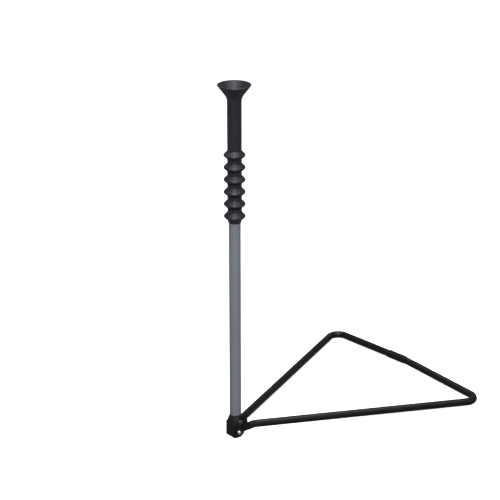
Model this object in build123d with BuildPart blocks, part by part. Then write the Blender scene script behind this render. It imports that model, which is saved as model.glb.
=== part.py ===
"""A fold-away batting tee: a bent-tube base, a hinged post and a flexible rubber top.

Frame: millimetres, +Z up. The origin is on the floor at the middle of the lower edge
of the bracket's web, +X runs to the middle of the crossbar and +Y is the left-hand
side when looking that way. The tee stands on the lower edge of the bracket and on
the two rounded corners of the base.
"""
from build123d import *
import os
from math import asin, cos, radians, sin, tan

os.makedirs("parts", exist_ok=True)

# Base: two half frames of bent steel tube
FRAME_OD = 12.7
FRAME_WALL = 1.0
LEG_LENGTH = 439.0        # from the meeting point of the legs to the sharp corner
LEG_HALF_ANGLE = 25.0     # degrees from +X
CORNER_RADIUS = 17.5      # at the tube's centre line
MEET_X = 7.2              # where the legs' centre lines meet
MEET_Z = 16.4
CRANK_Z = 14.1            # the crossbar's centre line in the middle, above its ends
TAB_THICKNESS = 2.4       # the flattened end of each leg
TAB_HEIGHT = 13.8
TAB_START_X = 16.2
TAB_END_X = 25.2
TAB_CORNER_RADIUS = 4.5
ROUND_START_X = 31.2      # where the flattened end is round again
TAB_BEND_RADIUS = 12.0
SOCKET_OD = 14.4          # the expanded end in the middle of the crossbar
SOCKET_DEPTH = 40.0
SOCKET_CONE = 4.0
SOCKET_MOUTH = 1.2        # from the middle to the socket's open end
SOCKET_CLEARANCE = 0.05
STUB_LENGTH = 38.5        # the other half's end, inside the socket
WELD_SIZE = 2.0

# Bracket: folded sheet, open towards +X
BRACKET_WIDTH = 27.0
SHEET = 1.8
BRACKET_TOP_Z = 38.5
BRACKET_REAR_X = 25.2
FOLD_RADIUS = 3.2         # inside the fold
WEB_SHOULDER_Z = 18.0
WEB_TOP_Z = 33.0
WEB_TOP_HALF_WIDTH = 4.5
EAR_CORNERS = [           # each corner's X, Z and rounding, from the lower front round to the upper front
    (12.0, 0, 3),
    (16.5, 3.5, 3),
    (20.5, 9.0, 3),
    (BRACKET_REAR_X, 10.0, 3),
    (BRACKET_REAR_X, 27.0, 4),
    (18.0, BRACKET_TOP_Z, 3),
    (11.0, BRACKET_TOP_Z, 2.5),
    (7.5, 29.5, 3),
]

# Post and hinge
POST_OD = 19.05
POST_WALL = 1.2
POST_TOP_Z = 428.0
PIVOT_Z = 26.5
KNUCKLE_GAP = 0.3         # between the knuckle and the web
KNUCKLE_FLAT_Y = 9.3
KNUCKLE_COLLAR_Z = 36.0
KNUCKLE_TOP_Z = 38.0      # the tube's lower end rests here
KNUCKLE_SPIGOT = 28.0
NYLON_WASHER_DIA = 13.0
NYLON_WASHER_GAP = 0.05
PLUG_RIVET_DIA = 3.2
PLUG_RIVET_DEPTH = 8.0
PLUG_RIVET_Z = 52.0
PIVOT_DIA = 6.0
BORE_CLEARANCE = 0.05
PIVOT_HEAD_DIA = 8.8
PIVOT_HEAD_HEIGHT = 2.4
PIVOT_TAIL_DIA = 7.8      # the peened end on the left
PIVOT_TAIL_HEIGHT = 1.6
RIVET_DIA = 4.8
RIVET_HEAD_DIA = 7.6
RIVET_HEAD_HEIGHT = 2.4
RIVET_X = 7.8
RIVET_Z = 8.8
SPACER_DIA = 7.0

# Rubber top: one moulding in three lengths
COLLAR_BOTTOM_Z = 373.0
COLLAR_RADIUS = 10.6
COLLAR_ROUND = 0.8
BELLOWS_BOTTOM_Z = 376.5
FIRST_CREST_Z = 383.8
CREST_PITCH = 20.0
CREST_COUNT = 6
CREST_RADIUS = 18.2       # sharp, before the crest is rounded
CREST_ROUND = 2.4
VALLEY_START = 7.2        # from a crest up to the straight length above it
VALLEY_END = 13.5         # and to the end of that length
VALLEY_ROUND = 2.5
CREST_BORE_RADIUS = 15.2
BORE_INSET = 0.8          # how much shorter the bore's straight lengths are at each end
BORE_ROUND = 1.5
BELLOWS_TOP_Z = 497.5
NECK_RADIUS = 11.4
NECK_BORE_RADIUS = 8.7
GRIP_CLEARANCE = 0.03
RIM_Z = 596.0
RIM_RADIUS = 27.4
RIM_BORE_RADIUS = 24.4
RIM_ROUND = 0.9
FLARE_START_Z = 574.8
FLARE_RADIUS = 18.0
FLARE_BORE_RADIUS = 20.6

# Sizes that follow
frame_radius = FRAME_OD / 2
frame_bore = frame_radius - FRAME_WALL
socket_bore = frame_radius + SOCKET_CLEARANCE
corner_u = LEG_LENGTH * cos(radians(LEG_HALF_ANGLE))
corner_v = LEG_LENGTH * sin(radians(LEG_HALF_ANGLE))
corner_half_angle = (90 - LEG_HALF_ANGLE) / 2
widest_v = corner_v - CORNER_RADIUS / tan(radians(corner_half_angle)) + CORNER_RADIUS
droop = asin((CRANK_Z - frame_radius) / widest_v)
fall = asin((MEET_Z - CRANK_Z) / corner_u)
round_start_u = ROUND_START_X - MEET_X
half_width = BRACKET_WIDTH / 2
ear_gap = half_width - SHEET
tab_y = half_width + TAB_THICKNESS / 2
tab_v = tab_y / cos(droop)
tab_z = MEET_Z - round_start_u * sin(fall) - tab_v * sin(droop)
bend_u = tab_v / tan(radians(LEG_HALF_ANGLE))
post_radius = POST_OD / 2
post_bore = post_radius - POST_WALL
grip_radius = post_radius + GRIP_CLEARANCE
web_inner_x = SHEET / 2
web_outer_x = -SHEET / 2
post_x = web_inner_x + KNUCKLE_GAP + post_radius
pivot_radius = PIVOT_DIA / 2
pivot_bore = pivot_radius + BORE_CLEARANCE
head_seat_y = -half_width
tail_seat_y = half_width
flare_slope = (RIM_RADIUS - NECK_RADIUS) / (RIM_Z - FLARE_START_Z)
flare_bore_z = RIM_Z - (RIM_BORE_RADIUS - NECK_BORE_RADIUS) / flare_slope
pivot_axis = Axis((post_x, 0, PIVOT_Z), (0, 1, 0))
rivet_axis = Axis((RIVET_X, 0, RIVET_Z), (0, 1, 0))
plug_rivet_axis = Axis((post_x, 0, PLUG_RIVET_Z), (1, 0, 0))
post_axis = Axis((post_x, 0, 0), (0, 0, 1))

# Planes in which a profile is drawn as (radius, distance along the axis)
pivot_profile_plane = Plane(origin=(post_x, 0, PIVOT_Z))
rivet_profile_plane = Plane(origin=(RIVET_X, 0, RIVET_Z))
plug_rivet_profile_plane = Plane(origin=(post_x, 0, PLUG_RIVET_Z), x_dir=(0, 1, 0), z_dir=(0, 0, -1))
post_profile_plane = Plane(origin=(post_x, 0, 0), x_dir=(1, 0, 0), z_dir=(0, -1, 0))


def half_plane(side):
    """The drooping plane of one half of the base: side is 1 for left, -1 for right."""
    return Plane(origin=(MEET_X, 0, MEET_Z), x_dir=(cos(fall), 0, -sin(fall)),
                 z_dir=(cos(droop) * sin(fall), side * sin(droop), cos(droop) * cos(fall)))


def crossbar_plane(v, facing):
    """Across the left half's crossbar at v from the middle, facing out (1) or in (-1)."""
    left_half = half_plane(1)
    centre = left_half.from_local_coords(Vector(corner_u, v, 0))
    return Plane(origin=centre, x_dir=left_half.x_dir, z_dir=left_half.y_dir * facing)


def add_flattened_end(side):
    """The leg's end, pressed flat so that it lies against the bracket's ear."""
    flat_plane = Plane(origin=(TAB_END_X, side * tab_y, tab_z), x_dir=(0, 0, 1), z_dir=(1, 0, 0))
    with BuildSketch(flat_plane) as flat_section:
        SlotOverall(TAB_HEIGHT, TAB_THICKNESS)
    half = half_plane(side)
    round_centre = half.from_local_coords(Vector(round_start_u, side * tab_v, 0))
    with BuildSketch(Plane(origin=round_centre, x_dir=half.z_dir, z_dir=half.x_dir)) as round_section:
        Circle(frame_radius)
    loft(sections=[flat_section.sketch, round_section.sketch])
    extrude(flat_section.sketch, amount=TAB_START_X - TAB_END_X)
    tab_front = Plane(origin=(TAB_START_X, side * tab_y, tab_z), x_dir=(1, 0, 0), z_dir=(0, -1, 0))
    with BuildSketch(tab_front) as corner_cuts:
        Rectangle(2 * TAB_CORNER_RADIUS, 2 * TAB_HEIGHT)
        with Locations((TAB_HEIGHT, 0)):
            RectangleRounded(2 * TAB_HEIGHT, TAB_HEIGHT, TAB_CORNER_RADIUS, mode=Mode.SUBTRACT)
    extrude(corner_cuts.sketch, amount=TAB_THICKNESS, both=True, mode=Mode.SUBTRACT)


def add_bent_tube(side, last_v):
    """One half's tube, from its flattened end round the corner to last_v."""
    with BuildLine(half_plane(side)) as centre_line:
        FilletPolyline(
            (round_start_u, side * tab_v),
            (bend_u, side * tab_v),
            (corner_u, side * corner_v),
            (corner_u, side * last_v),
            radius=[TAB_BEND_RADIUS, CORNER_RADIUS])
    path = centre_line.wires()[0]
    for radius, mode in ((frame_radius, Mode.ADD), (frame_bore, Mode.SUBTRACT)):
        with BuildSketch(Plane(origin=path @ 0, z_dir=path % 0)) as section:
            Circle(radius)
        sweep(sections=section.sketch, path=path, mode=mode)


def add_dome(radius, top_y, seat_y):
    """A fastener's domed head, as an arc from the axis to the seat."""
    ThreePointArc((0, top_y), (0.72 * radius, top_y + 0.3 * (seat_y - top_y)), (radius, seat_y))


def add_washer(outer_radius, inner_radius, start_y, thickness):
    """A flat ring around the pivot axis."""
    with BuildSketch(Plane(origin=(post_x, start_y, PIVOT_Z), z_dir=(0, 1, 0))) as ring:
        Circle(outer_radius)
        Circle(inner_radius, mode=Mode.SUBTRACT)
    extrude(ring.sketch, amount=thickness)


def weld_bead(side):
    """Fillet welds along the front and the top of one leg's flattened end."""
    face_y = side * half_width
    straight = TAB_HEIGHT - 2 * TAB_CORNER_RADIUS
    top_z = tab_z + TAB_HEIGHT / 2
    with BuildPart() as bead:
        with BuildSketch(Plane.XY.offset(tab_z - straight / 2)):
            with BuildLine():
                Polyline((TAB_START_X, face_y), (TAB_START_X, face_y + side * WELD_SIZE))
                Line((TAB_START_X, face_y), (TAB_START_X - WELD_SIZE, face_y))
                RadiusArc((TAB_START_X - WELD_SIZE, face_y),
                          (TAB_START_X, face_y + side * WELD_SIZE), side * 3 * WELD_SIZE)
            make_face()
        extrude(amount=straight)
        with BuildSketch(Plane.YZ.offset(TAB_START_X + TAB_CORNER_RADIUS)):
            with BuildLine():
                Polyline((face_y, top_z), (face_y, top_z + WELD_SIZE),
                         (face_y + side * WELD_SIZE * 0.8, top_z), (face_y, top_z))
            make_face()
        extrude(amount=BRACKET_REAR_X - TAB_START_X - TAB_CORNER_RADIUS)
    return bead


# The left half ends in an expanded socket, open towards the middle
with BuildPart() as base_frame_left:
    add_flattened_end(1)
    add_bent_tube(1, SOCKET_DEPTH + SOCKET_CONE)
    with BuildSketch(crossbar_plane(SOCKET_DEPTH + SOCKET_CONE, -1)):
        Circle(frame_radius)
    with BuildSketch(crossbar_plane(SOCKET_DEPTH, -1)):
        Circle(SOCKET_OD / 2)
    loft()
    with BuildSketch(crossbar_plane(SOCKET_DEPTH, -1)):
        Circle(SOCKET_OD / 2)
    extrude(amount=SOCKET_DEPTH - SOCKET_MOUTH)
    with BuildSketch(crossbar_plane(SOCKET_DEPTH + SOCKET_CONE, -1)):
        Circle(frame_bore)
    extrude(amount=SOCKET_CONE, mode=Mode.SUBTRACT)
    with BuildSketch(crossbar_plane(SOCKET_DEPTH, -1)):
        Circle(socket_bore)
    extrude(amount=SOCKET_DEPTH, mode=Mode.SUBTRACT)

# The right half is cranked in the middle, and its end goes into that socket
with BuildPart() as base_frame_right:
    add_flattened_end(-1)
    add_bent_tube(-1, 0)
    with Locations(crossbar_plane(0, 1)):
        Sphere(frame_radius)
    with BuildSketch(crossbar_plane(0, 1)):
        Circle(frame_radius)
    extrude(amount=STUB_LENGTH)
    with Locations(crossbar_plane(0, 1)):
        Sphere(frame_bore, mode=Mode.SUBTRACT)
    with BuildSketch(crossbar_plane(0, 1)):
        Circle(frame_bore)
    extrude(amount=STUB_LENGTH, mode=Mode.SUBTRACT)
    with BuildSketch(crossbar_plane(0, 1)):
        Circle(frame_bore)
    extrude(amount=-FRAME_OD, mode=Mode.SUBTRACT)

weld_bead_left = weld_bead(1)
weld_bead_right = weld_bead(-1)

# Bracket: a channel whose web stands in front of the post
channel_length = BRACKET_REAR_X - web_outer_x
ear_points = [(x, z) for x, z, _ in EAR_CORNERS]
ear_rounds = [rounding for _, _, rounding in EAR_CORNERS]
with BuildPart() as hinge_bracket:
    with BuildSketch() as channel:
        with Locations((web_outer_x + channel_length / 2, 0)):
            Rectangle(channel_length, BRACKET_WIDTH)
        fillet(channel.vertices().group_by(Axis.X)[0], FOLD_RADIUS + SHEET)
        with Locations((web_inner_x + channel_length, 0)):
            RectangleRounded(2 * channel_length, 2 * ear_gap, FOLD_RADIUS, mode=Mode.SUBTRACT)
    extrude(amount=BRACKET_TOP_Z)
    for side in (-1, 1):
        with BuildSketch(Plane.XZ.offset(side * ear_gap)):
            Rectangle(4 * channel_length, 4 * BRACKET_TOP_Z)
            with BuildLine():
                FilletPolyline(
                    (web_outer_x, 0),
                    *ear_points,
                    (web_outer_x, WEB_SHOULDER_Z),
                    radius=[0, *ear_rounds, 0], close=True)
            make_face(mode=Mode.SUBTRACT)
        extrude(amount=side * 2 * SHEET, mode=Mode.SUBTRACT)
    with BuildSketch(Plane.YZ.offset(web_outer_x)):
        with BuildLine():
            Polyline(
                (-half_width - SHEET, WEB_SHOULDER_Z),
                (-half_width, WEB_SHOULDER_Z),
                (-WEB_TOP_HALF_WIDTH, WEB_TOP_Z),
                (WEB_TOP_HALF_WIDTH, WEB_TOP_Z),
                (half_width, WEB_SHOULDER_Z),
                (half_width + SHEET, WEB_SHOULDER_Z),
                (half_width + SHEET, 2 * BRACKET_TOP_Z),
                (-half_width - SHEET, 2 * BRACKET_TOP_Z),
                close=True)
        make_face()
    extrude(amount=SHEET + FOLD_RADIUS, mode=Mode.SUBTRACT)
    with BuildSketch(Plane.XZ):
        with Locations((post_x, PIVOT_Z)):
            Circle(pivot_bore)
        with Locations((RIVET_X, RIVET_Z)):
            Circle(RIVET_DIA / 2 + BORE_CLEARANCE)
    extrude(amount=BRACKET_WIDTH, both=True, mode=Mode.SUBTRACT)

with BuildPart() as lower_rivet:
    with BuildSketch(rivet_profile_plane):
        with BuildLine():
            add_dome(RIVET_HEAD_DIA / 2, -half_width - RIVET_HEAD_HEIGHT, -half_width)
            Polyline(
                (RIVET_HEAD_DIA / 2, -half_width),
                (RIVET_DIA / 2, -half_width),
                (RIVET_DIA / 2, half_width),
                (RIVET_HEAD_DIA / 2, half_width))
            add_dome(RIVET_HEAD_DIA / 2, half_width + RIVET_HEAD_HEIGHT, half_width)
            Line((0, -half_width - RIVET_HEAD_HEIGHT), (0, half_width + RIVET_HEAD_HEIGHT))
        make_face()
    revolve(axis=rivet_axis)

with BuildPart() as lower_spacer:
    with BuildSketch(Plane.XZ):
        with Locations((RIVET_X, RIVET_Z)):
            Circle(SPACER_DIA / 2)
            Circle(RIVET_DIA / 2 + BORE_CLEARANCE, mode=Mode.SUBTRACT)
    extrude(amount=ear_gap, both=True)

# Pivot: a domed rivet through both ears and the knuckle, peened over on the left
with BuildPart() as pivot_rivet:
    with BuildSketch(pivot_profile_plane):
        with BuildLine():
            add_dome(PIVOT_HEAD_DIA / 2, head_seat_y - PIVOT_HEAD_HEIGHT, head_seat_y)
            Polyline(
                (PIVOT_HEAD_DIA / 2, head_seat_y),
                (pivot_radius, head_seat_y),
                (pivot_radius, tail_seat_y),
                (PIVOT_TAIL_DIA / 2, tail_seat_y))
            add_dome(PIVOT_TAIL_DIA / 2, tail_seat_y + PIVOT_TAIL_HEIGHT, tail_seat_y)
            Line((0, head_seat_y - PIVOT_HEAD_HEIGHT), (0, tail_seat_y + PIVOT_TAIL_HEIGHT))
        make_face()
    revolve(axis=pivot_axis)

with BuildPart() as nylon_washers:
    nylon_thickness = ear_gap - KNUCKLE_FLAT_Y - 2 * NYLON_WASHER_GAP
    add_washer(NYLON_WASHER_DIA / 2, pivot_bore, KNUCKLE_FLAT_Y + NYLON_WASHER_GAP, nylon_thickness)
    add_washer(NYLON_WASHER_DIA / 2, pivot_bore, -ear_gap + NYLON_WASHER_GAP, nylon_thickness)

# Post: a tube on a knuckle whose rounded lower end swings clear of the web
with BuildPart() as hinge_knuckle:
    with BuildSketch(Plane.XY.offset(PIVOT_Z - post_radius)):
        with Locations((post_x, 0)):
            Circle(post_radius)
            Rectangle(POST_OD, 2 * KNUCKLE_FLAT_Y, mode=Mode.INTERSECT)
    extrude(amount=KNUCKLE_COLLAR_Z - PIVOT_Z + post_radius)
    with BuildSketch(Plane.XZ):
        with Locations((post_x, PIVOT_Z)):
            Circle(post_radius)
        with Locations((post_x, PIVOT_Z + POST_OD)):
            Rectangle(POST_OD, 2 * POST_OD)
    extrude(amount=POST_OD, both=True, mode=Mode.INTERSECT)
    with BuildSketch(Plane.XY.offset(KNUCKLE_COLLAR_Z)):
        with Locations((post_x, 0)):
            Circle(post_radius)
    extrude(amount=KNUCKLE_TOP_Z - KNUCKLE_COLLAR_Z)
    with BuildSketch(Plane.XY.offset(KNUCKLE_TOP_Z)):
        with Locations((post_x, 0)):
            Circle(post_bore - BORE_CLEARANCE)
    extrude(amount=KNUCKLE_SPIGOT)
    chamfer(faces().sort_by(Axis.Z)[-1].edges(), 1)
    with BuildSketch(Plane.XZ):
        with Locations((post_x, PIVOT_Z)):
            Circle(pivot_bore)
    extrude(amount=POST_OD, both=True, mode=Mode.SUBTRACT)
    with BuildSketch(Plane.YZ.offset(post_x + PLUG_RIVET_DEPTH - PLUG_RIVET_DIA)):
        with Locations((0, PLUG_RIVET_Z)):
            Circle(PLUG_RIVET_DIA / 2)
    extrude(amount=POST_OD, mode=Mode.SUBTRACT)

with BuildPart() as post_tube:
    with BuildSketch(Plane.XY.offset(KNUCKLE_TOP_Z)):
        with Locations((post_x, 0)):
            Circle(post_radius)
            Circle(post_bore, mode=Mode.SUBTRACT)
    extrude(amount=POST_TOP_Z - KNUCKLE_TOP_Z)
    with BuildSketch(Plane.YZ.offset(post_x)):
        with Locations((0, PLUG_RIVET_Z)):
            Circle(PLUG_RIVET_DIA / 2)
    extrude(amount=POST_OD, mode=Mode.SUBTRACT)

with BuildPart() as knuckle_rivet:
    rivet_seat = post_radius
    with BuildSketch(plug_rivet_profile_plane):
        with BuildLine():
            Polyline(
                (0, PLUG_RIVET_DEPTH - PLUG_RIVET_DIA),
                (PLUG_RIVET_DIA / 2, PLUG_RIVET_DEPTH - PLUG_RIVET_DIA),
                (PLUG_RIVET_DIA / 2, rivet_seat),
                (PLUG_RIVET_DIA, rivet_seat))
            add_dome(PLUG_RIVET_DIA, rivet_seat + PLUG_RIVET_DIA / 3, rivet_seat)
            Line((0, rivet_seat + PLUG_RIVET_DIA / 3), (0, PLUG_RIVET_DEPTH - PLUG_RIVET_DIA))
        make_face()
    revolve(axis=plug_rivet_axis)

# Rubber top: collar, bellows and cup are one moulding, cut where the neck bends
with BuildPart() as tube_collar:
    with BuildSketch(post_profile_plane):
        with BuildLine():
            Polyline(
                (grip_radius, COLLAR_BOTTOM_Z),
                (COLLAR_RADIUS - COLLAR_ROUND, COLLAR_BOTTOM_Z),
                (COLLAR_RADIUS, COLLAR_BOTTOM_Z + COLLAR_ROUND),
                (COLLAR_RADIUS, BELLOWS_BOTTOM_Z),
                (grip_radius, BELLOWS_BOTTOM_Z),
                close=True)
        make_face()
    revolve(axis=post_axis)

crests = [FIRST_CREST_Z + CREST_PITCH * count for count in range(CREST_COUNT)]
outer_points = [(COLLAR_RADIUS, BELLOWS_BOTTOM_Z)]
bore_points = [(grip_radius, BELLOWS_BOTTOM_Z)]
for crest_z in crests:
    outer_points.append((CREST_RADIUS, crest_z))
    outer_points.append((NECK_RADIUS, crest_z + VALLEY_START))
    bore_points.append((CREST_BORE_RADIUS, crest_z))
    bore_points.append((grip_radius, crest_z + VALLEY_START + BORE_INSET))
    if crest_z < crests[-1]:
        outer_points.append((NECK_RADIUS, crest_z + VALLEY_END))
        bore_points.append((grip_radius, crest_z + VALLEY_END - BORE_INSET))
outer_points.append((NECK_RADIUS, BELLOWS_TOP_Z))
bore_points.append((NECK_BORE_RADIUS, BELLOWS_TOP_Z))
outer_rounds = [CREST_ROUND, VALLEY_ROUND, VALLEY_ROUND] * CREST_COUNT
with BuildPart() as bellows:
    with BuildSketch(post_profile_plane):
        with BuildLine():
            FilletPolyline(*outer_points, radius=outer_rounds[:-1])
            FilletPolyline(*bore_points, radius=BORE_ROUND)
            Line(outer_points[0], bore_points[0])
            Line(outer_points[-1], bore_points[-1])
        make_face()
    revolve(axis=post_axis)

with BuildPart() as ball_cup:
    with BuildSketch(post_profile_plane):
        with BuildLine():
            FilletPolyline(
                (NECK_BORE_RADIUS, BELLOWS_TOP_Z),
                (NECK_RADIUS, BELLOWS_TOP_Z),
                (NECK_RADIUS, FLARE_START_Z),
                (RIM_RADIUS, RIM_Z),
                (RIM_BORE_RADIUS, RIM_Z),
                (NECK_BORE_RADIUS, flare_bore_z),
                radius=[0, 0, FLARE_RADIUS, RIM_ROUND, RIM_ROUND, FLARE_BORE_RADIUS], close=True)
        make_face()
    revolve(axis=post_axis)

pieces = {
    "base_frame_left": base_frame_left,
    "base_frame_right": base_frame_right,
    "weld_bead_left": weld_bead_left,
    "weld_bead_right": weld_bead_right,
    "hinge_bracket": hinge_bracket,
    "lower_rivet": lower_rivet,
    "lower_spacer": lower_spacer,
    "pivot_rivet": pivot_rivet,
    "nylon_washers": nylon_washers,
    "hinge_knuckle": hinge_knuckle,
    "post_tube": post_tube,
    "knuckle_rivet": knuckle_rivet,
    "tube_collar": tube_collar,
    "bellows": bellows,
    "ball_cup": ball_cup,
}
for name, piece in pieces.items():
    piece.part.label = name
    export_step(piece.part, f"parts/{name}.step")
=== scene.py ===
"""Looks for the fold-away batting tee: rubber top, painted tubes, folded bracket and fasteners.

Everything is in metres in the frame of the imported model. Its origin is on the floor at
the middle of the lower edge of the bracket's web, +X runs to the middle of the crossbar
and +Z is up.
"""
from math import asin, cos, pi, radians, sin, sqrt, tan

import bmesh
import bpy
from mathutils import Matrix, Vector


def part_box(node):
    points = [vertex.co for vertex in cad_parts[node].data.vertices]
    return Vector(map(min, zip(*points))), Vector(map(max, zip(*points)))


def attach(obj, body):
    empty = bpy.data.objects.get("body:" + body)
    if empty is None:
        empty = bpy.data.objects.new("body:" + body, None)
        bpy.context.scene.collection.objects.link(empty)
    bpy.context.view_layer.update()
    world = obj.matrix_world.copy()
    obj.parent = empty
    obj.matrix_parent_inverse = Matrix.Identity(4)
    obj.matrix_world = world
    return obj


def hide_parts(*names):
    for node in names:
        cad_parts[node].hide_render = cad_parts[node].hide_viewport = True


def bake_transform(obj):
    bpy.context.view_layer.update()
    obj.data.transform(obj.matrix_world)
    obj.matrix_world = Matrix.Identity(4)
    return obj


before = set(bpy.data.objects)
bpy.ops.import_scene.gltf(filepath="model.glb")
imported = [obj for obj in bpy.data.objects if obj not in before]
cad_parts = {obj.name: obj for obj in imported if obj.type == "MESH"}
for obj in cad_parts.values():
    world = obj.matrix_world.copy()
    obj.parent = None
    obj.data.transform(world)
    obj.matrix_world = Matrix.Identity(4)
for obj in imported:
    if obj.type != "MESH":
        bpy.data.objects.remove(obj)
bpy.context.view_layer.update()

MM = 0.001

# Places read from the frame
cup_low, cup_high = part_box("ball_cup")
bellows_low, bellows_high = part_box("bellows")
collar_low, collar_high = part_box("tube_collar")
post_low, post_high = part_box("post_tube")
pivot_low, pivot_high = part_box("pivot_rivet")
bracket_low, bracket_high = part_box("hinge_bracket")
rivet_low, rivet_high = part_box("lower_rivet")
post_x = (post_low[0] + post_high[0]) / 2
pivot_z = (pivot_low[2] + pivot_high[2]) / 2
post_radius = (post_high[0] - post_low[0]) / 2

# Rubber top
RUBBER_SEGMENTS = 128
NECK_RADIUS = 11.4 * MM
NECK_BORE = 8.7 * MM
COLLAR_RADIUS = 10.6 * MM
RIM_OUTER = 27.4 * MM
RIM_INNER = 24.4 * MM
RIM_ROUND = 0.9 * MM
FLARE_HEIGHT = 21.2 * MM
FLARE_ROUND = 18.0 * MM
FLARE_BORE_ROUND = 20.6 * MM
CREST_COUNT = 6
CREST_PITCH = 20.0 * MM
FIRST_CREST_RISE = 7.3 * MM
CREST_RADIUS = 18.2 * MM
CREST_ROUND = 2.4 * MM
VALLEY_START = 7.2 * MM
VALLEY_END = 13.5 * MM
VALLEY_ROUND = 2.5 * MM
CREST_BORE = 15.2 * MM
BORE_INSET = 0.8 * MM
BORE_ROUND = 1.5 * MM
GRIP_CLEARANCE = 0.03 * MM
PARTING_LINE = 0.22 * MM
PARTING_WIDTH = 0.06        # in radians either side

# Base tubes
FRAME_RADIUS = 6.35 * MM
LEG_LENGTH = 439.0 * MM
LEG_HALF_ANGLE = radians(25.0)
CORNER_RADIUS = 17.5 * MM
MEET_X = 7.2 * MM
MEET_Z = 16.4 * MM
CRANK_Z = 14.1 * MM
TAB_THICKNESS = 2.4 * MM
TAB_HEIGHT = 13.8 * MM
TAB_START_X = 16.2 * MM
TAB_END_X = 25.2 * MM
TAB_CORNER = 4.5 * MM
ROUND_START_X = 31.2 * MM
TAB_BEND_RADIUS = 12.0 * MM
SOCKET_RADIUS = 7.2 * MM
SOCKET_BORE = 6.42 * MM
SOCKET_DEPTH = 40.0 * MM
SOCKET_CONE = 4.0 * MM
SOCKET_MOUTH = 1.2 * MM
CRANK_REACH = 6.0 * MM      # how far either side of the middle the right half bends
STUB_GAP = 2.0 * MM         # from the right half's end to the bottom of the socket
FLAT_POWER = 8              # the flattened end's section, nearly a rectangle
WELD_RADIUS = 1.25 * MM
WELD_RIPPLE = 1.1 * MM      # from one ripple to the next
CRANK_STEPS = 12
WELD_STEPS = 40
CROSSWISE = Vector((1, 0, 0))

# Bracket
SHEET = 1.8 * MM
FOLD_RADIUS = 3.2 * MM
EDGE_ROUND = 0.3 * MM
WEB_SHOULDER_Z = 18.0 * MM
WEB_TOP_Z = 33.0 * MM
WEB_TOP_HALF_WIDTH = 4.5 * MM
NOTCH_RISE = 3.6 * MM       # the notch beside the web, above the web's shoulder
PIVOT_HOLE = 3.1 * MM
RIVET_HOLE = 2.5 * MM
FOLD_STEPS = 8

# Fasteners and post
PIVOT_SHANK = 3.0 * MM
PIVOT_HEAD = 4.4 * MM
PIVOT_TAIL = 3.9 * MM
RIVET_SHANK = 2.4 * MM
RIVET_HEAD = 3.8 * MM
PEENED_FROM = 0.1 * MM
FASTENER_SEGMENTS = 72
POST_WALL = 1.2 * MM
POST_EASE = 0.25 * MM

# Studio, in metres
CAMERA_PLACE = (-1.4610, -1.8031, 1.2454)
CAMERA_HEADING = radians(50.19)
CAMERA_TILT = radians(21.549)
CAMERA_LENS = 114.3         # in millimetres, for a sensor 36 mm wide
CAMERA_SENSOR = 36
CAMERA_SIGHT = 60
PAPER_REACH = 7.0
PAPER_HEIGHT = 9.0
PAPER_CURVE = 3.0
PAPER_DEPTH = 0.0004
PAPER_SIDES = 96
PAPER_GLOW = 0.75

half_width = (bracket_high[1] - bracket_low[1]) / 2
tab_y = half_width + TAB_THICKNESS / 2
corner_u = LEG_LENGTH * cos(LEG_HALF_ANGLE)
corner_v = LEG_LENGTH * sin(LEG_HALF_ANGLE)
corner_reach = CORNER_RADIUS / tan((pi / 2 - LEG_HALF_ANGLE) / 2)
droop = asin((CRANK_Z - FRAME_RADIUS) / (corner_v - corner_reach + CORNER_RADIUS))
fall = asin((MEET_Z - CRANK_Z) / corner_u)
round_start_u = ROUND_START_X - MEET_X
tab_v = tab_y / cos(droop)
tab_z = MEET_Z - round_start_u * sin(fall) - tab_v * sin(droop)
bend_u = tab_v / tan(LEG_HALF_ANGLE)


# Shapes

def rounded(points, radii, steps=8, closed=False):
    """The points joined by lines, each corner replaced by an arc of its own radius."""
    path = []
    count = len(points)
    for index, (point, radius) in enumerate(zip(points, radii)):
        point = Vector(point)
        if radius == 0 or (not closed and index in (0, count - 1)):
            path.append(point)
            continue
        before = (Vector(points[index - 1]) - point).normalized()
        after = (Vector(points[(index + 1) % count]) - point).normalized()
        half_turn = before.angle(after) / 2
        reach = radius / tan(half_turn)
        centre = point + (before + after).normalized() * (radius / sin(half_turn))
        first = point + before * reach - centre
        last = point + after * reach - centre
        sweep = first.angle(last)
        for step in range(steps + 1):
            part = step / steps
            spoke = first * sin((1 - part) * sweep) + last * sin(part * sweep)
            path.append(centre + spoke / sin(sweep))
    return path


def mesh_object(name, build):
    """A new object whose mesh is filled by build, with smooth faces."""
    mesh = bpy.data.meshes.new(name)
    surface = bmesh.new()
    build(surface)
    bmesh.ops.recalc_face_normals(surface, faces=surface.faces)
    surface.to_mesh(mesh)
    surface.free()
    obj = bpy.data.objects.new(name, mesh)
    bpy.context.scene.collection.objects.link(obj)
    smooth(obj)
    return obj


def smooth(obj, angle=radians(38)):
    """Smooth shading with creases kept where faces meet at more than angle."""
    obj.data.polygons.foreach_set("use_smooth", [True] * len(obj.data.polygons))
    obj.data.set_sharp_from_angle(angle=angle)


def bridge_rings(surface, rings, close_ring=True, close_loop=False):
    """Quads between each ring of vertices and the next."""
    pairs = list(zip(rings, rings[1:]))
    if close_loop:
        pairs.append((rings[-1], rings[0]))
    for ring, following in pairs:
        last = len(ring) if close_ring else len(ring) - 1
        for index in range(last):
            other = (index + 1) % len(ring)
            surface.faces.new((ring[index], ring[other], following[other], following[index]))


def lathe(name, profile, segments=RUBBER_SEGMENTS, bulge=None):
    """A closed (radius, height) profile turned round the post's axis."""
    def build(surface):
        rings = []
        for radius, height in profile:
            ring = []
            for index in range(segments):
                turn = 2 * pi * index / segments
                swell = bulge(turn, radius) if bulge else 0
                ring.append(surface.verts.new((
                    post_x + (radius + swell) * cos(turn), (radius + swell) * sin(turn), height)))
            rings.append(ring)
        bridge_rings(surface, rings, close_loop=True)
    return mesh_object(name, build)


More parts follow.
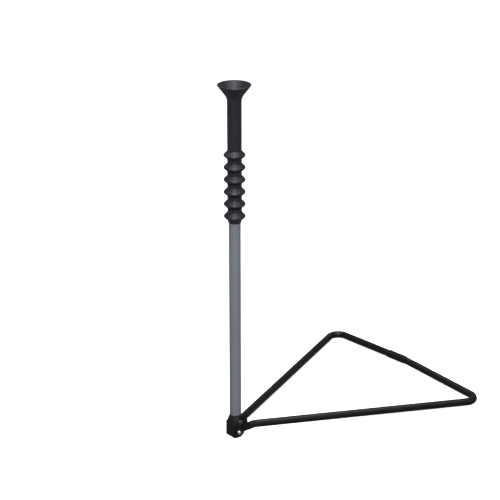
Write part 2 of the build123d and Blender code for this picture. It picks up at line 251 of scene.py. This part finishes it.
def superellipse(half_a, half_b, power, count=40):
    """Points of a section that is an ellipse at power 2 and nearly a rectangle at 8."""
    points = []
    for index in range(count):
        turn = 2 * pi * index / count
        a = half_a * abs(cos(turn)) ** (2 / power) * (1 if cos(turn) >= 0 else -1)
        b = half_b * abs(sin(turn)) ** (2 / power) * (1 if sin(turn) >= 0 else -1)
        points.append((a, b))
    return points


def round_section(radius):
    """Points of a round section."""
    return superellipse(radius, radius, 2)


def ring_at(surface, centre, axis_a, axis_b, section):
    """A ring of vertices round centre, in the plane of the two axes."""
    return [surface.verts.new(centre + axis_a * a + axis_b * b) for a, b in section]


def plate(name, outlines, thickness, edge_round):
    """A flat plate in XY with rounded edges: the first outline is its rim, the others are holes."""
    curve = bpy.data.curves.new(name, "CURVE")
    curve.dimensions = "2D"
    curve.fill_mode = "BOTH"
    curve.extrude = thickness / 2 - edge_round
    curve.bevel_depth = edge_round
    curve.bevel_resolution = 3
    curve.offset = -edge_round
    for outline in outlines:
        spline = curve.splines.new("POLY")
        spline.points.add(len(outline) - 1)
        for point, (x, y) in zip(spline.points, outline):
            point.co = (x, y, 0, 1)
        spline.use_cyclic_u = True
    drawn = bpy.data.objects.new(name, curve)
    bpy.context.scene.collection.objects.link(drawn)
    bpy.context.view_layer.update()
    mesh = bpy.data.meshes.new_from_object(drawn.evaluated_get(bpy.context.evaluated_depsgraph_get()))
    bpy.data.objects.remove(drawn)
    obj = bpy.data.objects.new(name, mesh)
    bpy.context.scene.collection.objects.link(obj)
    surface = bmesh.new()
    surface.from_mesh(mesh)
    bmesh.ops.remove_doubles(surface, verts=surface.verts, dist=1e-6)
    surface.to_mesh(mesh)
    surface.free()
    mesh.name = name
    return obj


def circle(centre_x, centre_y, radius, count=48):
    """A round outline."""
    return [(centre_x + radius * cos(2 * pi * index / count),
             centre_y + radius * sin(2 * pi * index / count)) for index in range(count)]


# Materials

class Finish:
    """A material's node tree with short names for what each finish needs."""

    def __init__(self, name, **values):
        self.material = bpy.data.materials.new(name)
        self.material.use_nodes = True
        self.nodes = self.material.node_tree.nodes
        self.links = self.material.node_tree.links
        self.shader = self.nodes["Principled BSDF"]
        self.place = self.nodes.new("ShaderNodeTexCoord").outputs["Object"]
        for socket, value in values.items():
            self.shader.inputs[socket.replace("_", " ")].default_value = value

    def noise(self, scale, detail=3.0, roughness=0.55, stretch=None):
        """Noise of about 1 / scale metres, from 0 to 1."""
        place = self.place
        if stretch:
            mapping = self.nodes.new("ShaderNodeMapping")
            mapping.inputs["Scale"].default_value = stretch
            self.links.new(place, mapping.inputs["Vector"])
            place = mapping.outputs["Vector"]
        node = self.nodes.new("ShaderNodeTexNoise")
        node.inputs["Scale"].default_value = scale
        node.inputs["Detail"].default_value = detail
        node.inputs["Roughness"].default_value = roughness
        self.links.new(place, node.inputs["Vector"])
        return node.outputs["Fac"]

    def spread(self, value, low, high, to_low=0.0, to_high=1.0):
        """value from low..high mapped to to_low..to_high, with its ends held."""
        node = self.nodes.new("ShaderNodeMapRange")
        node.inputs["From Min"].default_value = low
        node.inputs["From Max"].default_value = high
        node.inputs["To Min"].default_value = to_low
        node.inputs["To Max"].default_value = to_high
        self.links.new(value, node.inputs["Value"])
        return node.outputs["Result"]

    def blend(self, factor, dark, light):
        """A colour between dark and light."""
        node = self.nodes.new("ShaderNodeMix")
        node.data_type = "RGBA"
        node.inputs[6].default_value = (*dark, 1) if isinstance(dark, tuple) else (0, 0, 0, 1)
        node.inputs[7].default_value = (*light, 1)
        if not isinstance(dark, tuple):
            self.links.new(dark, node.inputs[6])
        self.links.new(factor, node.inputs[0])
        return node.outputs[2]

    def colour(self, value):
        self.links.new(value, self.shader.inputs["Base Color"])

    def roughness(self, value):
        self.links.new(value, self.shader.inputs["Roughness"])

    def bump(self, *layers):
        """Bump layers of (height value, depth in metres), one on top of the other."""
        normal = None
        for value, depth in layers:
            node = self.nodes.new("ShaderNodeBump")
            node.inputs["Strength"].default_value = 1.0
            node.inputs["Distance"].default_value = depth
            self.links.new(value, node.inputs["Height"])
            if normal:
                self.links.new(normal, node.inputs["Normal"])
            normal = node.outputs["Normal"]
        self.links.new(normal, self.shader.inputs["Normal"])


def black_paint():
    """Semi-gloss black powder coat: fine orange peel, faint scuffs that show paler."""
    finish = Finish("frame_black_paint", Specular_IOR_Level=0.22)
    patches = finish.noise(38, detail=4)
    scuffs = finish.spread(finish.noise(420, detail=6, roughness=0.7, stretch=(1, 1, 3)), 0.66, 0.74)
    base = finish.blend(patches, (0.0035, 0.0035, 0.004), (0.0075, 0.0075, 0.0085))
    finish.colour(finish.blend(finish.spread(scuffs, 0, 1, 0, 0.5), base, (0.035, 0.035, 0.037)))
    finish.roughness(finish.spread(patches, 0.3, 0.7, 0.27, 0.4))
    finish.bump((finish.noise(1700, detail=2), 0.00004), (finish.noise(260, detail=2), 0.00008))
    return finish.material


def grey_paint():
    """Satin grey powder coat with a fine grain and slight shade changes along the tube."""
    finish = Finish("post_grey_paint", Specular_IOR_Level=0.25)
    patches = finish.noise(22, detail=5, stretch=(1, 1, 0.35))
    base = finish.blend(patches, (0.135, 0.147, 0.163), (0.175, 0.19, 0.208))
    specks = finish.spread(finish.noise(900, detail=4, roughness=0.7), 0.68, 0.75)
    finish.colour(finish.blend(finish.spread(specks, 0, 1, 0, 0.35), base, (0.29, 0.31, 0.33)))
    finish.roughness(finish.spread(patches, 0.3, 0.7, 0.36, 0.47))
    finish.bump((finish.noise(2200, detail=2), 0.00003), (finish.noise(300, detail=2), 0.00005))
    return finish.material


def rubber():
    """Moulded rubber: nearly black with a grey bloom, a fine matt grain and soft highlights."""
    finish = Finish("top_black_rubber", Specular_IOR_Level=0.42)
    bloom = finish.noise(46, detail=6, roughness=0.62)
    base = finish.blend(bloom, (0.0075, 0.0088, 0.0122), (0.0155, 0.0172, 0.0226))
    dust = finish.spread(finish.noise(640, detail=5, roughness=0.7), 0.62, 0.74)
    finish.colour(finish.blend(finish.spread(dust, 0, 1, 0, 0.3), base, (0.045, 0.047, 0.052)))
    finish.roughness(finish.spread(bloom, 0.3, 0.7, 0.31, 0.44))
    finish.bump((finish.noise(2600, detail=2), 0.00005), (finish.noise(420, detail=3), 0.00009))
    return finish.material


def black_nylon():
    """Matt moulded plastic with a light spark-eroded grain."""
    finish = Finish("knuckle_black_nylon", Specular_IOR_Level=0.45)
    grain = finish.noise(1500, detail=3)
    finish.colour(finish.blend(finish.noise(60), (0.011, 0.011, 0.012), (0.02, 0.02, 0.022)))
    finish.roughness(finish.spread(grain, 0.3, 0.7, 0.5, 0.66))
    finish.bump((grain, 0.00006))
    return finish.material


def black_oxide():
    """Blackened steel with a dull sheen, rubbed a little paler in spots."""
    finish = Finish("rivet_black_oxide", Metallic=1.0)
    rubbed = finish.noise(480, detail=5, roughness=0.65)
    finish.colour(finish.blend(finish.spread(rubbed, 0.35, 0.75), (0.09, 0.09, 0.092), (0.2, 0.2, 0.2)))
    finish.roughness(finish.spread(rubbed, 0.3, 0.7, 0.28, 0.42))
    finish.bump((finish.noise(1900, detail=2), 0.00003))
    return finish.material


def zinc():
    """Bright zinc plating: clear metal with faint clouding and fine drawing marks."""
    finish = Finish("fastener_bright_zinc", Metallic=1.0)
    clouds = finish.noise(330, detail=5, roughness=0.6)
    finish.colour(finish.blend(clouds, (0.66, 0.67, 0.68), (0.86, 0.86, 0.85)))
    finish.roughness(finish.spread(clouds, 0.3, 0.7, 0.16, 0.3))
    finish.bump((finish.noise(2400, detail=2, stretch=(1, 0.2, 1)), 0.00002))
    return finish.material


def floor_paper():
    """Plain pale studio paper."""
    finish = Finish("studio_paper", Specular_IOR_Level=0.2)
    finish.colour(finish.blend(finish.noise(3), (0.86, 0.86, 0.865), (0.88, 0.88, 0.885)))
    finish.roughness(finish.spread(finish.noise(80), 0.3, 0.7, 0.75, 0.85))
    finish.shader.inputs["Emission Color"].default_value = (1, 1, 1, 1)
    finish.shader.inputs["Emission Strength"].default_value = PAPER_GLOW
    return finish.material


def paint(obj, material):
    """Gives every slot of the object this material."""
    if not obj.material_slots:
        obj.data.materials.append(material)
    for material_slot in obj.material_slots:
        material_slot.material = material


PAINT = black_paint()
POST_PAINT = grey_paint()
RUBBER = rubber()
BLACK_NYLON = black_nylon()
BLACK_OXIDE = black_oxide()
ZINC = zinc()


# Rubber top

def parting_line(turn, radius):
    """The mould's parting line: a thin raised seam down both sides."""
    if radius < COLLAR_RADIUS:
        return 0
    return PARTING_LINE * max(0, 1 - abs(sin(turn)) / PARTING_WIDTH)


def ball_cup():
    """Neck and trumpet-shaped cup, open down the middle."""
    slope = (RIM_OUTER - NECK_RADIUS) / FLARE_HEIGHT
    rim_z = cup_high[2]
    flare_z = rim_z - FLARE_HEIGHT
    bore_z = rim_z - (RIM_INNER - NECK_BORE) / slope
    profile = rounded(
        [(NECK_BORE, cup_low[2]), (NECK_RADIUS, cup_low[2]), (NECK_RADIUS, flare_z),
         (RIM_OUTER, rim_z), (RIM_INNER, rim_z), (NECK_BORE, bore_z)],
        [0, 0, FLARE_ROUND, RIM_ROUND, RIM_ROUND, FLARE_BORE_ROUND], steps=14, closed=True)
    cup = lathe("rubber_cup", divided(profile, 4 * MM), bulge=parting_line)
    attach(cup, "top")
    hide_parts("ball_cup")
    return cup


def divided(profile, longest):
    """The closed profile with its long straight stretches cut into shorter ones."""
    path = []
    for index, point in enumerate(profile):
        following = profile[(index + 1) % len(profile)]
        pieces = max(1, round((following - point).length / longest))
        path += [point.lerp(following, step / pieces) for step in range(pieces)]
    return path


def bellows():
    """Six rings round the neck, hollow like the crests outside, built straight."""
    low = bellows_low[2]
    high = bellows_high[2]
    crests = [low + FIRST_CREST_RISE + CREST_PITCH * count for count in range(CREST_COUNT)]
    grip = post_radius + GRIP_CLEARANCE
    outer = [(COLLAR_RADIUS, low)]
    bore = [(grip, low)]
    outer_radii = [0]
    for crest in crests:
        outer += [(CREST_RADIUS, crest), (NECK_RADIUS, crest + VALLEY_START)]
        bore += [(CREST_BORE, crest), (grip, crest + VALLEY_START + BORE_INSET)]
        outer_radii += [CREST_ROUND, VALLEY_ROUND]
        if crest < crests[-1]:
            outer.append((NECK_RADIUS, crest + VALLEY_END))
            bore.append((grip, crest + VALLEY_END - BORE_INSET))
            outer_radii.append(VALLEY_ROUND)
    outer.append((NECK_RADIUS, high))
    bore.append((NECK_BORE, high))
    outer_radii.append(0)
    outside = rounded(outer, outer_radii, steps=10)
    inside = rounded(bore, [BORE_ROUND] * len(bore), steps=5)
    ring_of_rubber = lathe("rubber_bellows", divided(outside + inside[::-1], 2 * MM), bulge=parting_line)
    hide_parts("bellows")
    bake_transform(ring_of_rubber)
    return ring_of_rubber


def tube_collar():
    """The plain end that grips the post, with a rounded lip."""
    low, high = collar_low[2], collar_high[2]
    bore = post_radius + GRIP_CLEARANCE
    profile = rounded([(bore, low), (COLLAR_RADIUS, low), (COLLAR_RADIUS, high), (bore, high)],
                      [0.2 * MM, 0.7 * MM, 0, 0], closed=True)
    collar = lathe("rubber_collar", profile, bulge=parting_line)
    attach(collar, "post")
    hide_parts("tube_collar")
    return collar


for piece in (ball_cup(), bellows(), tube_collar()):
    paint(piece, RUBBER)


# Base

def base_axes(side):
    """The directions of one half of the base: along its middle line, sideways and square to its plane."""
    along = Vector((cos(fall), 0, -sin(fall)))
    square = Vector((cos(droop) * sin(fall), side * sin(droop), cos(droop) * cos(fall)))
    return along, square.cross(along) * side, square


def base_point(side, u, v):
    """The point of one half's plane at u along its middle line and v sideways."""
    along, sideways, _ = base_axes(side)
    return Vector((MEET_X, 0, MEET_Z)) + along * u + sideways * v


def centre_line(side, last_v):
    """The bent tube's centre line from the end of the flat to last_v on the crossbar."""
    corners = [(round_start_u, tab_v), (bend_u, tab_v), (corner_u, corner_v), (corner_u, last_v)]
    path = rounded(corners, [0, TAB_BEND_RADIUS, CORNER_RADIUS, 0], steps=28)
    long_runs = [path[0]]
    for point in path[1:]:
        pieces = max(1, round((point - long_runs[-1]).length / (30 * MM)))
        start = long_runs[-1]
        long_runs += [start.lerp(point, (step + 1) / pieces) for step in range(pieces)]
    return [base_point(side, point.x, point.y) for point in long_runs]


def flat_end_rings(surface, side):
    """Rings from the rounded tip of the flattened end to where the tube is round."""
    upright = Vector((0, 0, 1))
    outward = Vector((0, side, 0))
    _, sideways, square = base_axes(side)
    half_thickness = TAB_THICKNESS / 2
    straight = TAB_HEIGHT / 2 - TAB_CORNER
    rings = []
    for step in range(9):
        along = TAB_CORNER * (1 - cos(pi / 2 * step / 8))
        half_height = straight + sqrt(TAB_CORNER ** 2 - (TAB_CORNER - along) ** 2)
        centre = Vector((TAB_START_X + along, side * tab_y, tab_z))
        rings.append(ring_at(surface, centre, upright, outward,
                             superellipse(half_height, half_thickness, FLAT_POWER)))
    for step in range(13):
        part = step / 12
        eased = part * part * (3 - 2 * part)
        centre = Vector((TAB_END_X + (ROUND_START_X - TAB_END_X) * part * 0.98, side * tab_y, tab_z))
        half_height = TAB_HEIGHT / 2 + (FRAME_RADIUS - TAB_HEIGHT / 2) * eased
        half_depth = half_thickness + (FRAME_RADIUS - half_thickness) * eased
        power = FLAT_POWER + (2 - FLAT_POWER) * min(1, eased * 1.4)
        rings.append(ring_at(surface, centre, upright.lerp(square, eased).normalized(),
                             outward.lerp(sideways, eased).normalized(),
                             superellipse(half_height, half_depth, power)))
    return rings


def tube_rings(surface, side, path):
    """Round rings along a path that lies in one half's plane."""
    square = base_axes(side)[2]
    rings = []
    for index, point in enumerate(path):
        before = path[max(0, index - 1)]
        after = path[min(len(path) - 1, index + 1)]
        tangent = (after - before).normalized()
        across = square.cross(tangent).normalized() * side
        rings.append(ring_at(surface, point, square, across, round_section(FRAME_RADIUS)))
    return rings


def cap(surface, ring):
    """Closes a ring with one face."""
    surface.faces.new(ring)


def left_frame():
    """The left half, which ends in an expanded socket at the middle of the crossbar."""
    def build(surface):
        rings = flat_end_rings(surface, 1)
        rings += tube_rings(surface, 1, centre_line(1, SOCKET_DEPTH + SOCKET_CONE))
        square = base_axes(1)[2]
        socket = rounded(
            [(SOCKET_DEPTH + SOCKET_CONE, FRAME_RADIUS), (SOCKET_DEPTH, SOCKET_RADIUS),
             (SOCKET_MOUTH, SOCKET_RADIUS), (SOCKET_MOUTH, SOCKET_BORE),
             (SOCKET_DEPTH, SOCKET_BORE)],
            [0, 6 * MM, 0.25 * MM, 0.15 * MM, 0], steps=6)
        for v, radius in socket[1:]:
            rings.append(ring_at(surface, base_point(1, corner_u, v), square, CROSSWISE,
                                 round_section(radius)))
        bridge_rings(surface, rings)
        cap(surface, rings[0])
        cap(surface, rings[-1])
    return mesh_object("left_base_tube", build)


def right_frame():
    """The right half, whose cranked end goes into the left half's socket."""
    def build(surface):
        rings = flat_end_rings(surface, -1)
        rings += tube_rings(surface, -1, centre_line(-1, CRANK_REACH))
        start = base_point(-1, corner_u, CRANK_REACH)
        end = base_point(1, corner_u, CRANK_REACH)
        for step in range(1, CRANK_STEPS + 1):
            part = step / CRANK_STEPS
            lean = droop * (2 * part - 1)
            point = start.lerp(end, part)
            point.z += 2 * part * (1 - part) * CRANK_REACH * tan(droop)
            square = Vector((0, sin(lean), cos(lean)))
            rings.append(ring_at(surface, point, square, CROSSWISE, round_section(FRAME_RADIUS)))
        rings.append(ring_at(surface, base_point(1, corner_u, SOCKET_DEPTH - STUB_GAP),
                             base_axes(1)[2], CROSSWISE, round_section(FRAME_RADIUS)))
        bridge_rings(surface, rings)
        cap(surface, rings[0])
        cap(surface, rings[-1])
    return mesh_object("right_base_tube", build)


def weld_run(surface, start, end, rise):
    """One run of weld: a bead with ripples that tapers at both ends."""
    length = (end - start).length
    side_axis = rise.cross((end - start).normalized())
    rings = []
    for step in range(WELD_STEPS + 1):
        part = step / WELD_STEPS
        taper = min(1, 6 * part, 6 * (1 - part)) ** 0.5
        ripple = 1 + 0.14 * abs(sin(pi * part * length / WELD_RIPPLE))
        size = max(0.05, taper) * ripple
        centre = start.lerp(end, part)
        rings.append(ring_at(surface, centre, rise, side_axis,
                             superellipse(WELD_RADIUS * 1.25 * size, WELD_RADIUS * size, 2, 20)))
    bridge_rings(surface, rings)
    cap(surface, rings[0])
    cap(surface, rings[-1])


def weld(side, name, node):
    """The welds along the front and the top of one flattened end."""
    def build(surface):
        face = side * half_width
        straight = TAB_HEIGHT / 2 - TAB_CORNER
        diagonal = Vector((-1, side, 0)).normalized()
        weld_run(surface, Vector((TAB_START_X, face, tab_z - straight)),
                 Vector((TAB_START_X, face, tab_z + straight)), diagonal)
        weld_run(surface, Vector((TAB_START_X + TAB_CORNER, face, tab_z + TAB_HEIGHT / 2)),
                 Vector((bracket_high[0], face, tab_z + TAB_HEIGHT / 2)),
                 Vector((0, side, 1)).normalized())
    bead = mesh_object(name, build)
    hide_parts(node)
    return bead


left_tube = left_frame()
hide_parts("base_frame_left")
right_tube = right_frame()
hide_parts("base_frame_right")
left_weld = weld(1, "left_weld", "weld_bead_left")
right_weld = weld(-1, "right_weld", "weld_bead_right")


# Bracket: cut flat, then folded

def folded_bracket():
    """The bracket's flat blank, with its holes, folded round the post.

    The notches beside the web end higher than in the CAD model, so that the floor
    behind the bracket doesn't show through them.
    """
    web_flat = half_width - SHEET - FOLD_RADIUS
    middle_radius = FOLD_RADIUS + SHEET / 2
    fold_length = middle_radius * pi / 2
    fold_x = bracket_low[0] + SHEET + FOLD_RADIUS
    ear_start = web_flat + fold_length
    rivet_x = (rivet_low[0] + rivet_high[0]) / 2
    rivet_z = (rivet_low[2] + rivet_high[2]) / 2

    def ear(x):
        return ear_start + x - fold_x

    rear = bracket_high[0]
    top = bracket_high[2]
    # Along the blank from the web's middle, up, and the corner's rounding in millimetres
    half_outline = [
        (ear(12 * MM), 0, 3), (ear(16.5 * MM), 3.5 * MM, 3), (ear(20.5 * MM), 9 * MM, 3),
        (ear(rear), 10 * MM, 3), (ear(rear), 27 * MM, 4), (ear(18 * MM), top, 3),
        (ear(11 * MM), top, 2.5), (ear(7.5 * MM), 29.5 * MM, 3),
        (ear_start, WEB_SHOULDER_Z + 6 * MM, 2), (web_flat, WEB_SHOULDER_Z + NOTCH_RISE, 1.5),
        (WEB_TOP_HALF_WIDTH, WEB_TOP_Z, 2)]
    points = [(s, z) for s, z, _ in half_outline] + [(-s, z) for s, z, _ in half_outline[::-1]]
    radii = [r * MM for _, _, r in half_outline] + [r * MM for _, _, r in half_outline[::-1]]
    holes = []
    for side in (-1, 1):
        holes.append(circle(side * ear(post_x), pivot_z, PIVOT_HOLE))
        holes.append(circle(side * ear(rivet_x), rivet_z, RIVET_HOLE))
    outline = rounded(points, radii, steps=6, closed=True)
    bracket = plate("folded_bracket", [outline] + holes, SHEET, EDGE_ROUND)

    surface = bmesh.new()
    surface.from_mesh(bracket.data)
    for side in (-1, 1):
        for step in range(FOLD_STEPS + 1):
            place = side * (web_flat + fold_length * step / FOLD_STEPS)
            geometry = surface.verts[:] + surface.edges[:] + surface.faces[:]
            bmesh.ops.bisect_plane(surface, geom=geometry, plane_co=(place, 0, 0), plane_no=(1, 0, 0))
    for vertex in surface.verts:
        s, z, out = vertex.co
        side = 1 if s >= 0 else -1
        past = abs(s) - web_flat
        if past <= 0:
            vertex.co = (fold_x - middle_radius - out, s, z)
        elif past < fold_length:
            turn = past / middle_radius
            reach = middle_radius + out
            vertex.co = (fold_x - reach * cos(turn), side * (web_flat + reach * sin(turn)), z)
        else:
            vertex.co = (fold_x + past - fold_length, side * (web_flat + middle_radius + out), z)
    bmesh.ops.recalc_face_normals(surface, faces=surface.faces)
    surface.to_mesh(bracket.data)
    surface.free()
    smooth(bracket, radians(25))
    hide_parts("hinge_bracket")
    return bracket


for piece in (left_tube, right_tube, left_weld, right_weld, folded_bracket()):
    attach(piece, "base")
    paint(piece, PAINT)


# Fasteners

def turned(name, node, centre, radius_rows, material):
    """A piece turned round an axis along Y, from rows of (radius, y), with its left end peened."""
    def build(surface):
        rings = []
        for radius, y in radius_rows:
            ring = []
            for index in range(FASTENER_SEGMENTS):
                turn = 2 * pi * index / FASTENER_SEGMENTS
                size = radius * (1 + (peened(turn) if y > half_width + PEENED_FROM else 0))
                ring.append(surface.verts.new(
                    (centre[0] + size * cos(turn), y, centre[1] + size * sin(turn))))
            rings.append(ring)
        bridge_rings(surface, rings)
        cap(surface, rings[0])
        cap(surface, rings[-1])
    piece = mesh_object(name, build)
    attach(piece, "base")
    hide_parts(node)
    paint(piece, material)


def dome_rows(radius, height, seat, outward, steps=14):
    """Rows of a domed head from its flat crown to its seat, where its rim is rounded."""
    rows = []
    for step in range(steps + 1):
        part = step / steps
        angle = pi / 2 * part
        rows.append((max(0.12 * radius, radius * sin(angle) ** 0.9),
                     seat + outward * height * cos(angle) ** 0.75))
    return rows


def peened(turn):
    """The slightly uneven hammered rim of a riveted end."""
    return 0.012 * sin(5 * turn + 0.4) + 0.008 * sin(9 * turn + 1.1)


def rivet_rows(shank, head, tail, low, high):
    """Rows of a rivet through both ears: its domed head on the right, its shank and its peened end."""
    rows = dome_rows(head, -half_width - low[1], -half_width, -1)
    rows += [(shank, -half_width), (shank, half_width)]
    return rows + dome_rows(tail, high[1] - half_width, half_width, 1)[::-1]


def pivot_rivet():
    """The rivet that the post turns on."""
    rows = rivet_rows(PIVOT_SHANK, PIVOT_HEAD, PIVOT_TAIL, pivot_low, pivot_high)
    turned("hinge_rivet", "pivot_rivet", (post_x, pivot_z), rows, BLACK_OXIDE)


def lower_rivet():
    """The rivet that holds the ears together below the hinge."""
    centre = ((rivet_low[0] + rivet_high[0]) / 2, (rivet_low[2] + rivet_high[2]) / 2)
    rows = rivet_rows(RIVET_SHANK, RIVET_HEAD, RIVET_HEAD, rivet_low, rivet_high)
    turned("lower_dome_rivet", "lower_rivet", centre, rows, ZINC)


def post_tube():
    """The post: a tube whose cut ends are lightly deburred."""
    outer, inner = post_radius, post_radius - POST_WALL
    profile = rounded(
        [(inner, post_low[2]), (outer, post_low[2]), (outer, post_high[2]), (inner, post_high[2])],
        [POST_EASE] * 4, steps=4, closed=True)
    tube = lathe("painted_post", divided(profile, 25 * MM), segments=96)
    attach(tube, "post")
    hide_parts("post_tube")
    paint(tube, POST_PAINT)


pivot_rivet()
lower_rivet()
post_tube()

# Pieces kept from the CAD model, repainted
finishes = {
    "hinge_knuckle": BLACK_NYLON,
    "nylon_washers": BLACK_NYLON,
    "knuckle_rivet": ZINC,
    "lower_spacer": ZINC}
for node_name, material in finishes.items():
    paint(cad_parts[node_name], material)


# Studio

def add_floor():
    """A wide round sheet of pale paper under the tee, curved up far away on all sides.

    Its own glow keeps it white. It lights nothing and isn't reflected, so the tee's
    dark undersides stay dark.
    """
    profile = rounded(
        [(1, 0), (PAPER_REACH, 0), (PAPER_REACH, PAPER_HEIGHT)], [0, PAPER_CURVE, 0], steps=24)

    def build(surface):
        rings = []
        for point in profile:
            rings.append([surface.verts.new((x, y, point.y - PAPER_DEPTH))
                          for x, y in circle(0, 0, point.x, PAPER_SIDES)])
        bridge_rings(surface, rings)
        cap(surface, rings[0])
    floor = mesh_object("studio_floor", build)
    paint(floor, floor_paper())
    floor.visible_glossy = False
    floor.visible_diffuse = False
    floor.visible_shadow = False


def add_light(name, place, aim, size, power):
    """A softbox at place, turned to aim."""
    light = bpy.data.lights.new(name, "AREA")
    light.shape = "RECTANGLE"
    light.size, light.size_y = size
    light.energy = power
    lamp = bpy.data.objects.new(name, light)
    bpy.context.scene.collection.objects.link(lamp)
    lamp.location = place
    lamp.rotation_euler = (Vector(aim) - Vector(place)).to_track_quat("-Z", "Y").to_euler()


def add_camera():
    """The photograph's view: from ahead of the bracket and to its right, looking down."""
    forward = Vector((
        cos(CAMERA_TILT) * cos(CAMERA_HEADING), cos(CAMERA_TILT) * sin(CAMERA_HEADING), -sin(CAMERA_TILT)))
    camera = bpy.data.cameras.new("photo_camera")
    camera.lens = CAMERA_LENS
    camera.sensor_width = CAMERA_SENSOR
    camera.clip_end = CAMERA_SIGHT
    body = bpy.data.objects.new("photo_camera", camera)
    bpy.context.scene.collection.objects.link(body)
    body.location = CAMERA_PLACE
    body.rotation_euler = forward.to_track_quat("-Z", "Y").to_euler()
    bpy.context.scene.camera = body


def set_world(shade, strength):
    """An even, dim and pale surround."""
    world = bpy.data.worlds.new("studio")
    bpy.context.scene.world = world
    world.use_nodes = True
    background = world.node_tree.nodes["Background"]
    background.inputs["Color"].default_value = (*shade, 1)
    background.inputs["Strength"].default_value = strength


add_floor()
add_camera()
set_world((0.94, 0.97, 1.0), 0.22)
add_light("key", (-1.6, -1.9, 2.05), (0.0, 0, 0.3), (0.4, 0.4), 95)
add_light("fill", (1.2, -2.6, 1.6), (0.1, 0, 0.25), (1.0, 1.4), 8)
add_light("overhead", (0.2, 0.1, 3.4), (0.2, 0.1, 0), (3.0, 3.0), 120)
bpy.context.scene.view_settings.view_transform = "Standard"
bpy.context.scene.view_settings.look = "None"
